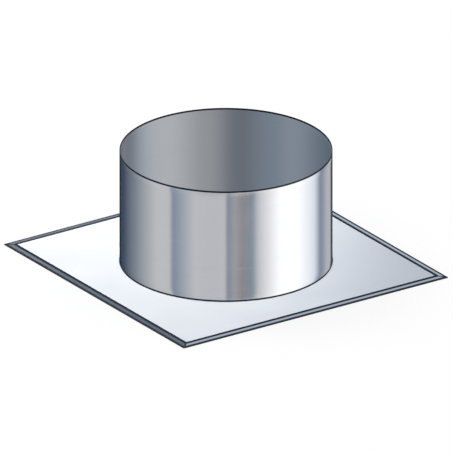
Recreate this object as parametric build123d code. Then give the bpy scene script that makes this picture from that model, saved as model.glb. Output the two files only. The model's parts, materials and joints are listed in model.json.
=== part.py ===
from build123d import *

import os
from math import cos, radians, sin, sqrt

# Roof flashing: a square sheet metal plate that lies on the roof, and a tall collar for the pipe.
# +Z is up along the collar's axis. The origin is on that axis, level with the border's lowest edge.
# Lengths are in millimetres and angles in degrees.

# Base plate
plate_side = 400.0  # over the border's outer edges
plate_sheet = 0.8
border_width = 10.0  # seen from above
border_slope = 6.0  # fall of the border below the flat
border_bend = 1.5  # inside radius of the border's bend
mitre_slit = 0.5  # gap between two border strips along a corner's diagonal

# Neck, drawn up out of the plate round its hole
neck_height = 10.0  # above the plate's upper face
neck_bend = 0.5  # inside radius of the bend at the neck's root
neck_clearance = 0.2  # radial gap between the neck and the collar round it

# Collar
collar_bore = 265.0  # inside diameter
collar_sheet = 0.8
collar_height = 150.0  # of the rim above the plate's upper face
weld_width = 3.0
weld_rise = 0.3  # of the weld's crown above the collar's outer wall
weld_bearing = 135.0  # place of the weld, from +X towards +Y

edge_break = 0.15  # small bevel on the neck's lip and the collar's two ends

# The border's straight run ends where its upper arris reaches the plate's full size.
slope = radians(border_slope)
border_run = (border_width - (border_bend + plate_sheet) * sin(slope)) / cos(slope)
border_drop = border_bend * (1 - cos(slope)) + border_run * sin(slope)
flat_side = plate_side - 2 * border_width
plate_top = border_drop + plate_sheet

# The collar slips over the neck, and its foot comes to rest on the curve of the neck's bend.
neck_outer = collar_bore / 2 - neck_clearance
neck_root = neck_outer + neck_bend
foot_gap = neck_bend - sqrt(neck_clearance * (2 * neck_bend - neck_clearance))


def bent_sheet(start, heading, bend_radius, turn, run, side):
    """Section of the plate's sheet, drawn from its underside: a bend, then a straight run."""
    bend = JernArc(start, heading, bend_radius, turn)
    straight = PolarLine(bend @ 1, run, direction=bend % 1)
    outline = Wire([bend.edge(), straight.edge()]).offset_2d(plate_sheet, side=side)
    return make_face(outline.edges())


def border_strip():
    """Border strip along +X, with its ends cut to the mitres."""
    start = (flat_side / 2, border_drop)
    section = bent_sheet(start, (1, 0), border_bend, -border_slope, border_run, Side.LEFT)
    strip = extrude(Plane.XZ * section, plate_side / 2, both=True)
    inner, outer = flat_side / 2, plate_side / 2
    setback = mitre_slit / sqrt(2)
    plan = Polyline(
        (inner, setback - inner),
        (outer, setback - outer),
        (outer, outer - setback),
        (inner, inner - setback),
        close=True,
    )
    return strip & extrude(make_face(plan), plate_top)


def neck():
    """Drawn neck, turned up from the flat to a vertical wall with a smooth lip."""
    start = (neck_root, border_drop)
    run = neck_height - neck_bend
    section = bent_sheet(start, (-1, 0), neck_bend + plate_sheet, -90, run, Side.RIGHT)
    lip = section.vertices().sort_by(Axis.Y)[-2:]
    return revolve(Plane.XZ * chamfer(lip, edge_break), Axis.Z)


def base_plate():
    """Square sheet with a hole, its drawn neck and the four border strips folded down."""
    blank = Rectangle(flat_side, flat_side) - Circle(neck_root)
    plate = Pos(Z=border_drop) * extrude(blank, plate_sheet) + neck()
    strip = border_strip()
    for quarter in range(4):
        plate += Rot(Z=90 * quarter) * strip
    return plate


def collar():
    """Rolled ring of sheet, closed by one upright weld that stands proud outside only."""
    outer_radius = collar_bore / 2 + collar_sheet
    # The weld's crown is the cap of a circle, as wide and as high as the weld.
    weld_radius = (weld_width**2 / 4 + weld_rise**2) / (2 * weld_rise)
    weld_place = Rot(Z=weld_bearing) * Pos(X=outer_radius + weld_rise - weld_radius)
    section = Circle(outer_radius) + weld_place * Circle(weld_radius) - Circle(collar_bore / 2)
    foot = plate_top + foot_gap
    ring = Pos(Z=foot) * extrude(section, collar_height - foot_gap)
    ends = ring.faces().filter_by(Axis.Z)
    return chamfer(ends.edges(), edge_break)


os.makedirs("parts", exist_ok=True)
export_step(base_plate(), "parts/base_plate.step")
export_step(collar(), "parts/collar.step")
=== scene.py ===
import json
from math import cos, pi, radians, sin, sqrt, tau

import bmesh
import bpy
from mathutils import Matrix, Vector, noise


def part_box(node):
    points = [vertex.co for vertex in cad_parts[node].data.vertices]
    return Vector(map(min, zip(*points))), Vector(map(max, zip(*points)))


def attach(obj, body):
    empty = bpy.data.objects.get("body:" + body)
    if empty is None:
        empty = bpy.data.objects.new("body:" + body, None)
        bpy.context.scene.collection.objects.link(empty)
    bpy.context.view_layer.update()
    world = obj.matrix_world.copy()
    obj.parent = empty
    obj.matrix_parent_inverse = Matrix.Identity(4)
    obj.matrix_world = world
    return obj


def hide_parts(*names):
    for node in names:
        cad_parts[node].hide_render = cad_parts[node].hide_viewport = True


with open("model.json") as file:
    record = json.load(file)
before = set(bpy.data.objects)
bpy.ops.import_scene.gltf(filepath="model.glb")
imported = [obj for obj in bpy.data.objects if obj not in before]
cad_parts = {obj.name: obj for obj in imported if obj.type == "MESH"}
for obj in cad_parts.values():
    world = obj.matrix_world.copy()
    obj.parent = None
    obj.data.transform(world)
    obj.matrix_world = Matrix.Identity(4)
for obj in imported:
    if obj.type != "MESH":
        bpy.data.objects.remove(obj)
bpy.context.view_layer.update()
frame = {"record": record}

# Lengths are in metres, and angles are in radians unless the text beside them says degrees.

mounts = {mount["name"]: mount for mount in frame["record"]["mounts"]}
plate_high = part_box("base_plate")[1]
collar_low, collar_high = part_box("collar")

# Sizes that the frame gives
plate_half = plate_high.x
flat_underside = mounts["roof_face"]["pos_m"][2]
neck_inner = mounts["pipe_passage"]["dims"]["r_mm"] / 1000
collar_outer = mounts["collar_outside"]["dims"]["r_mm"] / 1000

# Sizes of the sheet, its bends and the weld, the same as in the CAD model
sheet = 0.0008
neck_bend = 0.0005
border_width = 0.010
border_slope = radians(6)
border_bend = 0.0015
mitre_slit = 0.0005
weld_bearing = radians(135)
weld_half_width = 0.0015
weld_rise = 0.0003

# Sizes that follow from those
flat_middle = flat_underside + sheet / 2
flat_half = plate_half - border_width
collar_inner = collar_outer - sheet

# Fine forms that the CAD model doesn't have
edge_round = 0.00025
out_of_round = 0.00005
ring_waves = Vector((2.2, 2.2, 3.0))  # over the ring's x and y, and in each metre of height
out_of_flat = 0.00016
flat_waves = 11  # in each metre
flat_wave_ease = 1.5  # how gently the waves begin at the neck and the border
ripple_pitch = 0.0012
ripple_depth = 0.28  # share of the weld's crown
ripple_bow = 0.55  # how far a ripple's ends lie above its middle, in pitches
weld_inset = 0.0003  # from the collar's rim and foot
weld_taper = 0.0015  # length of the weld's rounded ends
weld_sunk = 0.00012  # depth of its hidden back in the ring's wall
weld_spare = 0.00001  # how far its crown stays inside the CAD model's

# The photograph's view
view_bearing = radians(-34.25)
view_elevation = radians(23.15)
picture_side = 0.5652
aim = Vector((0, 0, 0.0480))
camera_distance = 2.0
to_camera = Vector((sin(view_bearing), -cos(view_bearing), 0))
to_right = Vector((cos(view_bearing), sin(view_bearing), 0))


# Node helpers

def add(tree, kind, inputs=None, **settings):
    """Adds a node, sets its inputs to values or links them to other nodes' sockets."""
    node = tree.nodes.new(kind)
    for name, value in settings.items():
        setattr(node, name, value)
    for name, value in (inputs or {}).items():
        if isinstance(value, bpy.types.NodeSocket):
            tree.links.new(value, node.inputs[name])
        else:
            node.inputs[name].default_value = value
    return node


def maths(tree, operation, first, *others):
    """Result of a Math operation, which takes in several values from left to right."""
    result = first
    for other in others or (0.0,):
        result = add(tree, "ShaderNodeMath", {0: result, 1: other}, operation=operation).outputs[0]
    return result


def plus(tree, base, value, share):
    """base plus a share of value."""
    inputs = {0: value, 1: share, 2: base}
    return add(tree, "ShaderNodeMath", inputs, operation="MULTIPLY_ADD").outputs[0]


def varied(tree, mean, patterns):
    """Varies a mean value by patterns between 0 and 1, each with its own full range."""
    result = mean - sum(full_range for _, full_range in patterns) / 2
    for pattern, full_range in patterns:
        result = plus(tree, result, pattern, full_range)
    return result


def vector_maths(tree, operation, first, second, result="Vector"):
    """Result of a Vector Math operation: a vector, or a number where result is Value."""
    inputs = {0: first, 1: second}
    return add(tree, "ShaderNodeVectorMath", inputs, operation=operation).outputs[result]


def smooth_step(tree, value, start, end, low=0.0, high=1.0):
    """Goes smoothly from low to high as value goes from start to end."""
    inputs = {"Value": value, "From Min": start, "From Max": end, "To Min": low, "To Max": high}
    node = add(tree, "ShaderNodeMapRange", inputs, interpolation_type="SMOOTHSTEP")
    return node.outputs["Result"]


def line_at(tree, value, place, reach, fade):
    """1 where value is within reach of place, then softly down to 0 over fade."""
    distance = maths(tree, "ABSOLUTE", maths(tree, "SUBTRACT", value, place))
    return smooth_step(tree, distance, reach + fade, reach)


def mix(tree, share, first, second):
    """Mixes two colours, which have the node's sockets 6 and 7 and its result 2."""
    inputs = {0: share, 6: first, 7: second}
    return add(tree, "ShaderNodeMix", inputs, data_type="RGBA").outputs[2]


def waves(tree, place, waves_per_metre, detail):
    """Noise between 0 and 1, with its own number of waves along each axis."""
    scaled = vector_maths(tree, "MULTIPLY", place, waves_per_metre)
    inputs = {"Vector": scaled, "Scale": 1.0, "Detail": detail}
    return add(tree, "ShaderNodeTexNoise", inputs).outputs["Fac"]


def height_of(tree, place):
    """Height of a place or a direction."""
    return add(tree, "ShaderNodeSeparateXYZ", {0: place}).outputs["Z"]


def plan_distance(tree, place, spot):
    """Distance of a place from a spot at height 0, as seen from above."""
    level = vector_maths(tree, "MULTIPLY", place, (1, 1, 0))
    return vector_maths(tree, "DISTANCE", level, spot, "Value")


def plan_of(tree, place):
    """A place seen from above: its absolute x and y, and its distance from the axis."""
    parts = add(tree, "ShaderNodeSeparateXYZ", {0: place}).outputs
    x, y = (maths(tree, "ABSOLUTE", parts[axis]) for axis in ("X", "Y"))
    return x, y, plan_distance(tree, place, (0, 0, 0))


# Dark margins along the cut edges and bends, and painted shade where the collar meets the plate and
# along the mitre slits

# How far each one reaches from its edge or line, and how far it fades from there
rim_margin = 0.0019
foot_margin = 0.0017
edge_margin = 0.0033
bend_margin = 0.0021
margin_fade = 0.0005
mitre_margin = 0.0016  # as a difference between x and y
mitre_fade = 0.0004
lip_margin = 0.0007
lip_fade = 0.0003
contact_radius = collar_outer - 2 * out_of_round  # the ring's least outer radius
contact_margin = 0.0005
contact_fade = 0.0002
face_fade = 0.2 * sheet


def collar_margins(tree, place):
    """Dark along the collar's rim, and painted shade along its foot, where it meets the plate."""
    height = height_of(tree, place)
    rim = line_at(tree, height, collar_high.z, rim_margin, margin_fade)
    # Painted shade along the foot, where the collar meets the plate
    foot = line_at(tree, height, collar_low.z, foot_margin, margin_fade)
    return maths(tree, "MAXIMUM", rim, foot)


def plate_margins(tree, place):
    """Dark along the plate's cut edges, bends and lip; painted shade along the mitre slits and round
    the collar's foot.
    """
    x, y, radius = plan_of(tree, place)
    height = height_of(tree, place)
    reach = maths(tree, "MAXIMUM", x, y)
    edge = line_at(tree, reach, plate_half, edge_margin, margin_fade)
    bend = line_at(tree, reach, flat_half, bend_margin, margin_fade)
    on_border = smooth_step(tree, reach, flat_half - mitre_fade, flat_half)
    # Painted shade along the mitre slits
    mitre = maths(tree, "MULTIPLY", line_at(tree, x, y, mitre_margin, mitre_fade), on_border)
    lip = line_at(tree, height, plate_high.z, lip_margin, lip_fade)
    upper_face = smooth_step(tree, height, flat_middle - face_fade, flat_middle + face_fade)
    # Painted shade on the plate round the collar's foot
    contact = line_at(tree, radius, contact_radius, contact_margin, contact_fade)
    foot = maths(tree, "MULTIPLY", contact, upper_face)
    return maths(tree, "MAXIMUM", edge, bend, mitre, lip, foot)


# Steel

bright_steel = (0.77, 0.772, 0.785, 1)
# Painted shade: the collar's inside is darker than its outside, though it is the same steel
shaded_inside_steel = (0.358, 0.379, 0.408, 1)
plate_steel = (0.78, 0.79, 0.81, 1)
# Painted shade: the sloped border strips are darker than the flat of the same sheet
shaded_border_steel = (0.50, 0.545, 0.60, 1)
straw_tint = (0.62, 0.47, 0.26, 1)
blue_tint = (0.30, 0.36, 0.50, 1)
# Colour of the dark margins: dark lines along cut edges and bends, and painted shade at the collar's
# foot and the mitre slits
dark_line_and_painted_shade = (0.020, 0.022, 0.028, 1)

# Waves of the patterns in each metre, and how strongly each pattern shows
ring_grain = Vector((6, 6, 1700))
sheet_grain = Vector((6, 1700, 6))
smudge_waves = Vector((14, 14, 14))
coarse_share = 0.12  # of the grain's waves
scratch_share = 0.5
scratch_range = (0.76, 0.82)
grain_shade = 0.05
coarse_shade = 0.03
smudge_shade = 0.03
coarse_roughness = 0.02
smudge_roughness = 0.06
scratch_roughness = 0.05
scratch_depth = 1.5  # of the grain's own relief
relief_strength = 0.02
relief_height = 0.0001

# The dark margins are rougher than the steel, and the grain breaks them up a little
margin_roughness = 0.40
breakup_range = (0.2, 0.5)
darkness_kept = 0.82  # share of the darkness that is left

# Heat tint round the weld: the distances where it begins and is full, its strength and its colour
heat_tints = (
    (0.0100, 0.0050, 0.55, straw_tint),
    (0.0055, 0.0025, 0.60, blue_tint),
)
tint_wander = 0.004  # range over which smudges shift their edges

# Brushed look of the rolled ring, whose grain runs round the axis
ring_anisotropy = 0.8
quarter_turn = 0.25  # as a share of a full turn


def steel(name, colour, roughness, grain_waves, dark_margins, rolled=False, welded=False):
    """Stainless sheet: fine grain, hairline scratches, smudges, and dark lines along its edges, which
    are painted shade where parts meet.

    A rolled ring looks brushed round the axis, and a welded one has heat tint along its weld.
    """
    material = bpy.data.materials.new(name)
    material.use_nodes = True
    tree = material.node_tree
    shader = tree.nodes["Principled BSDF"]
    place = add(tree, "ShaderNodeTexCoord").outputs["Object"]

    grain = waves(tree, place, grain_waves, detail=2.0)
    coarse = waves(tree, place, coarse_share * grain_waves, detail=3.0)
    smudge = waves(tree, place, smudge_waves, detail=4.0)
    scratch = waves(tree, place, scratch_share * grain_waves, detail=0.0)
    scratch = smooth_step(tree, scratch, *scratch_range)

    shade = varied(tree, 1.0, [(grain, grain_shade), (coarse, coarse_shade), (smudge, smudge_shade)])
    tinted = vector_maths(tree, "MULTIPLY", colour[:3], shade)
    if welded:
        foot = (collar_outer * cos(weld_bearing), collar_outer * sin(weld_bearing), 0)
        gap = plan_distance(tree, place, foot)
        gap = plus(tree, gap, maths(tree, "SUBTRACT", smudge, 0.5), tint_wander)
        for begin, full, strength, tint in heat_tints:
            tinted = mix(tree, smooth_step(tree, gap, begin, full, 0.0, strength), tinted, tint)
    broken_up = smooth_step(tree, grain, *breakup_range, darkness_kept, 1.0)
    dark = maths(tree, "MULTIPLY", dark_margins(tree, place), broken_up)
    tinted = mix(tree, dark, tinted, dark_line_and_painted_shade)

    rough = varied(tree, roughness, [(coarse, coarse_roughness), (smudge, smudge_roughness)])
    rough = plus(tree, rough, scratch, scratch_roughness)
    rough = plus(tree, rough, dark, margin_roughness)

    relief = plus(tree, grain, scratch, -scratch_depth)
    bump_inputs = {"Height": relief, "Strength": relief_strength, "Distance": relief_height}
    bump = add(tree, "ShaderNodeBump", bump_inputs)
    tree.links.new(tinted, shader.inputs["Base Color"])
    tree.links.new(rough, shader.inputs["Roughness"])
    tree.links.new(bump.outputs["Normal"], shader.inputs["Normal"])
    shader.inputs["Metallic"].default_value = 1.0
    if rolled:
        shader.inputs["Anisotropic"].default_value = ring_anisotropy
        shader.inputs["Anisotropic Rotation"].default_value = quarter_turn
        tangent = add(tree, "ShaderNodeTangent", direction_type="RADIAL", axis="Z")
        tree.links.new(tangent.outputs[0], shader.inputs["Tangent"])
    return material


outside = steel(
    "collar_outside", bright_steel, roughness=0.155, grain_waves=ring_grain,
    dark_margins=collar_margins, rolled=True, welded=True,
)
inside = steel(
    "collar_inside", shaded_inside_steel, roughness=0.43, grain_waves=ring_grain,
    dark_margins=collar_margins, rolled=True,
)
flat = steel(
    "plate_flat", plate_steel, roughness=0.38, grain_waves=sheet_grain, dark_margins=plate_margins,
)
border = steel(
    "plate_border", shaded_border_steel, roughness=0.15, grain_waves=sheet_grain, dark_margins=plate_margins,
)


# Pieces

# How finely the meshes are divided
ring_columns = 512
wall_rows = 14
round_steps = 4
weld_columns = 12
rows_a_ripple = 6
neck_rows = 5
neck_bend_steps = 6
flat_columns = 56
flat_rows = 22
border_bend_steps = 3
border_rows = 6

join_distance = 0.00001
crisp_angle = radians(35)


def mesh_piece(name, shape, materials):
    """Turns a bmesh into a smooth piece that rides on the part."""
    bmesh.ops.recalc_face_normals(shape, faces=shape.faces)
    mesh = bpy.data.meshes.new(name)
    shape.to_mesh(mesh)
    shape.free()
    for material in materials:
        mesh.materials.append(material)
    mesh.shade_smooth()
    piece = bpy.data.objects.new(name, mesh)
    bpy.context.scene.collection.objects.link(piece)
    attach(piece, "root")
    return piece


def skin(shape, lines, material=0):
    """Faces between each two neighbouring lines of points, with one of the piece's materials."""
    for left, beside in zip(lines, lines[1:]):
        for row in range(len(left) - 1):
            face = shape.faces.new((left[row], beside[row], beside[row + 1], left[row + 1]))
            face.material_index = material


def quarter_arc(centre_r, centre_z, radius, first_turn, steps):
    """Points (radius, height) along a quarter of a circle."""
    turns = [first_turn + pi / 2 * step / steps for step in range(steps + 1)]
    return [(centre_r + radius * cos(turn), centre_z + radius * sin(turn)) for turn in turns]


def collar_section():
    """Outline of the ring's sheet with its rounded rim and foot: (radius, height, material)."""
    low, high = collar_low.z + edge_round, collar_high.z - edge_round
    walls = (
        (collar_outer, collar_outer - edge_round, low, high, -pi / 2),
        (collar_inner, collar_inner + edge_round, high, low, pi / 2),
    )
    section = []
    for material, (wall, centre, start, end, turn) in enumerate(walls):
        points = quarter_arc(centre, start, edge_round, turn, round_steps)
        points += [(wall, start + (end - start) * row / wall_rows) for row in range(1, wall_rows)]
        points += quarter_arc(centre, end, edge_round, turn + pi / 2, round_steps)
        section += [(r, z, material) for r, z in points]
    return section


def rolled_radius(r, z, angle):
    """Radius of the rolled ring, a few hundredths of a millimetre out of round."""
    spot = Vector((cos(angle), sin(angle), z)) * ring_waves
    return r - out_of_round * (1 + noise.noise(spot))


def collar():
    """Rolled collar with rounded rim and foot."""
    section = collar_section()
    shape = bmesh.new()
    rings = []
    for column in range(ring_columns):
        angle = tau * column / ring_columns
        ring = []
        for r, z, _ in section:
            out = rolled_radius(r, z, angle)
            ring.append(shape.verts.new((out * cos(angle), out * sin(angle), z)))
        rings.append(ring)
    for column, ring in enumerate(rings):
        beside = rings[(column + 1) % ring_columns]
        for row, (_, _, material) in enumerate(section):
            above = (row + 1) % len(section)
            face = shape.faces.new((ring[row], beside[row], beside[above], ring[above]))
            face.material_index = material
    piece = mesh_piece("collar_ring", shape, [outside, inside])
    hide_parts("collar")
    return piece


def weld():
    """Upright weld bead with the ripples that the torch leaves."""
    foot, rim = collar_low.z + weld_inset, collar_high.z - weld_inset
    rows = int((rim - foot) / ripple_pitch * rows_a_ripple)
    shape = bmesh.new()
    lines = []
    for row in range(rows + 1):
        z = foot + (rim - foot) * row / rows
        rounding = sqrt(max(0.0, min(1.0, (z - foot) / weld_taper, (rim - z) / weld_taper)))
        line = []
        for column in range(weld_columns + 1):
            side = 2 * column / weld_columns - 1
            ripple = abs(sin(pi * (z / ripple_pitch - ripple_bow * side * side)))
            crown = (1 - side * side) * (1 - ripple_depth + ripple_depth * ripple) * rounding
            out = collar_outer - weld_sunk + (weld_rise + weld_sunk - weld_spare) * crown
            turn = weld_bearing + side * weld_half_width / collar_outer
            line.append(shape.verts.new((out * cos(turn), out * sin(turn), z)))
        lines.append(line)
    skin(shape, lines)
    for low, high in zip(lines, lines[1:]):
        shape.faces.new((low[0], high[0], high[-1], low[-1]))
    for line in (lines[0], lines[-1]):
        shape.faces.new(line)
    piece = mesh_piece("collar_weld", shape, [outside])
    return piece


def neck_line():
    """Mid-line of the neck and its bend: (radius, height) from the lip down to the flat."""
    radius = neck_inner + sheet / 2
    bend = neck_bend + sheet / 2
    lip, root = plate_high.z, flat_middle + bend
    points = [(radius, lip + (root - lip) * row / neck_rows) for row in range(neck_rows)]
    return points + quarter_arc(radius + bend, root, bend, pi, neck_bend_steps)


def border_line():
    """Mid-line of the border: (reach, height) from the flat's end down to the cut edge."""
    bend = border_bend + sheet / 2
    run = (border_width - (border_bend + sheet) * sin(border_slope)) / cos(border_slope)
    points = []
    for step in range(1, border_bend_steps + 1):
        turn = border_slope * step / border_bend_steps
        points.append((flat_half + bend * sin(turn), flat_middle - bend * (1 - cos(turn))))
    start_reach, start_height = points[-1]
    for row in range(1, border_rows + 1):
        gone = run * row / border_rows
        points.append((start_reach + gone * cos(border_slope), start_height - gone * sin(border_slope)))
    return points


def plate_quarter(shape, quarter):
    """A quarter of the plate's mid-surface, with its own border strip between two mitres."""
    setback = mitre_slit / sqrt(2)
    shares = [2 * column / flat_columns - 1 for column in range(flat_columns + 1)]
    along_bend = [-flat_half] + [share * (flat_half - setback) for share in shares] + [flat_half]
    turn = Vector((cos(quarter * pi / 2), sin(quarter * pi / 2)))

    def turned(x, y, z):
        """A place in the first quarter, turned into this one."""
        return Vector((x * turn.x - y * turn.y, x * turn.y + y * turn.x, z))

    # Rays of points run out from the neck's lip to the bend
    neck = neck_line()
    flat_start = neck[-1][0]
    rays = []
    for y in along_bend:
        length = sqrt(flat_half**2 + y**2)
        places = [turned(r * flat_half / length, r * y / length, z) for r, z in neck]
        for row in range(1, flat_rows + 1):
            share = row / flat_rows
            r = flat_start + (length - flat_start) * share
            place = turned(r * flat_half / length, r * y / length, 0)
            ease = (4 * share * (1 - share)) ** flat_wave_ease
            place.z = flat_middle + out_of_flat * noise.noise(place * flat_waves) * ease
            places.append(place)
        rays.append([shape.verts.new(place) for place in places])
    skin(shape, rays, material=0)

    # The border's strip goes on from all rays but the two at the corners
    fold = border_line()
    strips = []
    for share, ray in zip(shares, rays[1:-1]):
        places = [turned(reach, share * (reach - setback), z) for reach, z in fold]
        strips.append([ray[-1]] + [shape.verts.new(place) for place in places])
    skin(shape, strips, material=1)


def base_plate():
    """Plate pressed from one sheet: the mid-surface of four quarters, thickened."""
    shape = bmesh.new()
    for quarter in range(4):
        plate_quarter(shape, quarter)
    bmesh.ops.remove_doubles(shape, verts=shape.verts, dist=join_distance)
    piece = mesh_piece("plate_sheet", shape, [flat, border])
    thicken = piece.modifiers.new("sheet", "SOLIDIFY")
    thicken.thickness = sheet
    thicken.offset = 0.0
    thicken.use_even_offset = True
    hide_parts("base_plate")
    return piece


ring = collar()
bead = weld()
plate = base_plate()
pieces = (ring, bead, plate)
for piece in pieces:
    crease = piece.modifiers.new("crisp edges", "EDGE_SPLIT")
    crease.split_angle = crisp_angle
    # The photograph shows no piece mirrored in another
    piece.visible_glossy = False


# Studio

tones = {
    "white": (1.30, 1.30, 1.31, 1),
    "pale blue": (0.90, 0.96, 1.06, 1),
    "light grey": (0.65, 0.655, 0.68, 1),
    "neutral grey": (0.635, 0.636, 0.64, 1),
    "cool grey": (0.24, 0.278, 0.33, 1),
    "black": (0.008, 0.009, 0.012, 1),
    "soft grey": (0.53, 0.54, 0.58, 1),
    "mid grey": (0.36, 0.36, 0.39, 1),
    "slate": (0.22, 0.28, 0.37, 1),
    "dark grey": (0.25, 0.25, 0.26, 1),
    "dark slate": (0.05, 0.075, 0.12, 1),
    "ice blue": (0.46, 0.68, 0.93, 1),
    "deep ice": (0.45, 0.71, 0.98, 1),
    "teal": (0.0, 0.06, 0.15, 1),
    "bright pearl": (1.44, 1.38, 1.30, 1),
    "haze": (0.65, 0.74, 0.85, 1),
    "wall": (0.50, 0.53, 0.58, 1),
    "side wall": (0.86, 0.87, 0.89, 1),
    "left back card": (0.14, 0.20, 0.29, 1),
    "right back card": (0.66, 0.74, 0.84, 1),
}

# Cards round the room, by their bearing in degrees: 0 is beside the camera, and positive is to
# its right. The colour goes evenly from each one to the next. The ring is what the collar's outer
# wall mirrors in the photograph's view, and the wide cards fill the rest below the horizon.
ring_cards = (
    (-180, "slate"), (-173, "black"), (-165, "black"), (-157, "dark slate"), (-146, "dark slate"),
    (-116, "cool grey"), (-81, "neutral grey"), (-64, "neutral grey"), (-60, "slate"),
    (-34, "light grey"), (-1, "light grey"), (1.5, "slate"), (9, "mid grey"), (18, "dark grey"),
    (29, "slate"), (36, "light grey"), (61, "white"), (86, "white"), (112, "pale blue"),
    (124, "slate"), (142, "soft grey"), (155, "soft grey"), (161, "black"), (171, "black"),
    (178, "slate"),
)
wide_cards = (
    (-180, "dark slate"), (-172, "deep ice"), (-140, "deep ice"), (-110, "ice blue"),
    (-50, "ice blue"), (-24, "teal"), (-6, "teal"), (11, "bright pearl"), (88, "bright pearl"),
    (105, "haze"), (126, "slate"), (165, "dark slate"),
)

# Soft edges in the room, from where each begins to where it ends. Heights, and places beside the
# seam, are parts of a direction that is 1 long. Angles are from straight behind the object.
ring_bottom = (-0.66, -0.58)
ring_top = (-0.17, -0.22)
back_horizon = (-0.05, 0.05)
side_horizon = (0.10, 0.35)
back_part = (radians(40), radians(28))
back_cards_top = (0.64, 0.60)
back_cards_side = (radians(9.5), radians(8))
back_cards_seam = (-0.005, 0.005)
side_wall_reach = radians(28)
side_wall_fade = radians(14)
paling = (-0.55, -0.20)
deep_saturation = 0.75
pale_saturation = 0.60


def card_ring(tree, share, cards):
    """Colour ramp round the room."""
    ramp = add(tree, "ShaderNodeValToRGB", {"Fac": share})
    stops = ramp.color_ramp.elements
    for index, (bearing_degrees, tone) in enumerate(cards):
        # A new ramp has two stops already
        stop = stops[index] if index < 2 else stops.new(1.0)
        stop.position = bearing_degrees / 360 + 0.5
        stop.color = tones[tone]
    return ramp.outputs["Color"]


def upper_room(tree, height, behind, aside):
    """Above the horizon: pale walls, brighter at the sides, and two cards behind the object."""
    side_wall = line_at(tree, behind, pi / 2, side_wall_reach, side_wall_fade)
    wall = mix(tree, side_wall, tones["wall"], tones["side wall"])
    below_top = smooth_step(tree, height, *back_cards_top)
    on_cards = maths(tree, "MULTIPLY", smooth_step(tree, behind, *back_cards_side), below_top)
    on_right = smooth_step(tree, aside, *back_cards_seam)
    card = mix(tree, on_right, tones["left back card"], tones["right back card"])
    return mix(tree, on_cards, wall, card)


def studio_room():
    """World: white, with a room of soft cards that only the metal's reflections show."""
    world = bpy.data.worlds.new("studio")
    bpy.context.scene.world = world
    world.use_nodes = True
    # No lamp sampling, so that the kind of a ray decides what it sees
    world.cycles.sampling_method = "NONE"
    tree = world.node_tree
    tree.nodes.clear()
    look = add(tree, "ShaderNodeTexCoord").outputs["Generated"]
    height = height_of(tree, look)
    toward = vector_maths(tree, "DOT_PRODUCT", look, to_camera, "Value")
    aside = vector_maths(tree, "DOT_PRODUCT", look, to_right, "Value")
    bearing = maths(tree, "ARCTAN2", aside, toward)
    behind = maths(tree, "SUBTRACT", pi, maths(tree, "ABSOLUTE", bearing))
    share = maths(tree, "ADD", maths(tree, "DIVIDE", bearing, tau), 0.5)

    saturation = smooth_step(tree, height, *paling, deep_saturation, pale_saturation)
    wide_inputs = {"Color": card_ring(tree, share, wide_cards), "Saturation": saturation}
    room = add(tree, "ShaderNodeHueSaturation", wide_inputs).outputs["Color"]

    # The horizon is lower behind the object than elsewhere
    above_sides = smooth_step(tree, height, *side_horizon)
    above_back = smooth_step(tree, height, *back_horizon)
    above_back = maths(tree, "MULTIPLY", above_back, smooth_step(tree, behind, *back_part))
    above = maths(tree, "MAXIMUM", above_sides, above_back)
    room = mix(tree, above, room, upper_room(tree, height, behind, aside))

    over_bottom = smooth_step(tree, height, *ring_bottom)
    in_ring = maths(tree, "MULTIPLY", over_bottom, smooth_step(tree, height, *ring_top))
    room = mix(tree, in_ring, room, card_ring(tree, share, ring_cards))

    mirrored = add(tree, "ShaderNodeLightPath").outputs["Is Glossy Ray"]
    colour = mix(tree, mirrored, (1, 1, 1, 1), room)
    background = add(tree, "ShaderNodeBackground", {"Color": colour, "Strength": 1.0})
    add(tree, "ShaderNodeOutputWorld", {"Surface": background.outputs[0]})


# Floor
floor_side = 30
floor_white = (0.95, 0.95, 0.95, 1)
camera_glow = 0.55
cover_fade = 0.0002


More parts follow.
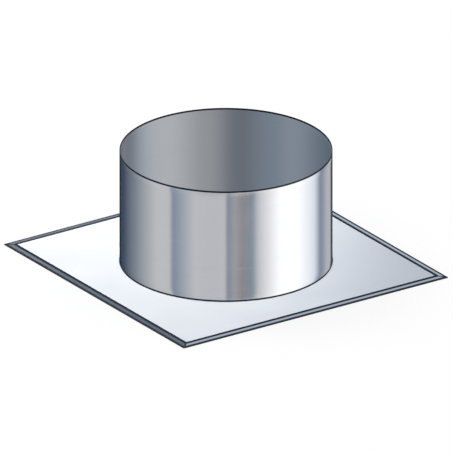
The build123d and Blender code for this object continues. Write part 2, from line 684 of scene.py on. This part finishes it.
def floor():
    """Pale floor, which the camera sees as white under the object's soft shadow.

    It doesn't glow under the sheet, so the slits at the mitres are dark.
    """
    bpy.ops.mesh.primitive_plane_add(size=floor_side, location=(0, 0, 0))
    ground = bpy.context.object
    ground.name = "floor"
    material = bpy.data.materials.new("floor_white")
    material.use_nodes = True
    tree = material.node_tree
    tree.nodes.clear()
    matte = add(tree, "ShaderNodeBsdfDiffuse", {"Color": floor_white})
    glow = add(tree, "ShaderNodeEmission", {"Color": (1, 1, 1, 1), "Strength": 1.0})
    seen = add(tree, "ShaderNodeLightPath").outputs["Is Camera Ray"]
    x, y, radius = plan_of(tree, add(tree, "ShaderNodeTexCoord").outputs["Object"])
    reach = maths(tree, "MAXIMUM", x, y)
    beside = smooth_step(tree, reach, plate_half - 2 * cover_fade, plate_half - cover_fade)
    in_hole = smooth_step(tree, radius, neck_inner + cover_fade, neck_inner)
    open_floor = maths(tree, "MAXIMUM", beside, in_hole)
    share = maths(tree, "MULTIPLY", seen, camera_glow, open_floor)
    both = add(tree, "ShaderNodeMixShader", {0: share, 1: matte.outputs[0], 2: glow.outputs[0]})
    add(tree, "ShaderNodeOutputMaterial", {"Surface": both.outputs[0]})
    ground.data.materials.append(material)
    ground.visible_glossy = False
    return ground


def direction(bearing, elevation):
    """Direction from the object, by its bearing from the camera's and its elevation."""
    level = to_camera * cos(bearing) + to_right * sin(bearing)
    return level * cos(elevation) + Vector((0, 0, sin(elevation)))


def lamp(name, bearing, elevation, distance, width, height, watts, lit, shadows, colour=(1, 1, 1)):
    """Soft box that looks at the object, placed by bearing and elevation in degrees.

    It lights one object only, and only some objects cast its shadows.
    """
    data = bpy.data.lights.new(name, "AREA")
    data.shape = "RECTANGLE"
    data.size, data.size_y = width, height
    data.energy = watts
    data.color = colour
    light = bpy.data.objects.new(name, data)
    bpy.context.scene.collection.objects.link(light)
    light.location = direction(radians(bearing), radians(elevation)) * distance
    light.rotation_euler = (-light.location).to_track_quat("-Z", "Y").to_euler()
    receivers = bpy.data.collections.new(name + " lights")
    receivers.objects.link(lit)
    light.light_linking.receiver_collection = receivers
    blockers = bpy.data.collections.new(name + " shadows")
    for blocker in shadows:
        blockers.objects.link(blocker)
    light.light_linking.blocker_collection = blockers


def photo_camera():
    """Camera without perspective, in the photograph's view."""
    lens = bpy.data.cameras.new("camera")
    lens.type = "ORTHO"
    lens.ortho_scale = picture_side
    camera = bpy.data.objects.new("camera", lens)
    bpy.context.scene.collection.objects.link(camera)
    side = direction(0, view_elevation)
    camera.location = aim + side * camera_distance
    camera.rotation_euler = side.to_track_quat("Z", "Y").to_euler()
    bpy.context.scene.camera = camera


studio_room()
ground = floor()
lamp(
    "key", bearing=-170, elevation=20.5, distance=1.5, width=0.80, height=0.14, watts=1.8,
    lit=plate, shadows=[ground], colour=(1, 0.97, 0.92),
)
lamp(
    "top", bearing=-130, elevation=50, distance=1.4, width=0.5, height=0.5, watts=3,
    lit=ground, shadows=pieces,
)
photo_camera()
bpy.context.scene.view_settings.view_transform = "Standard"
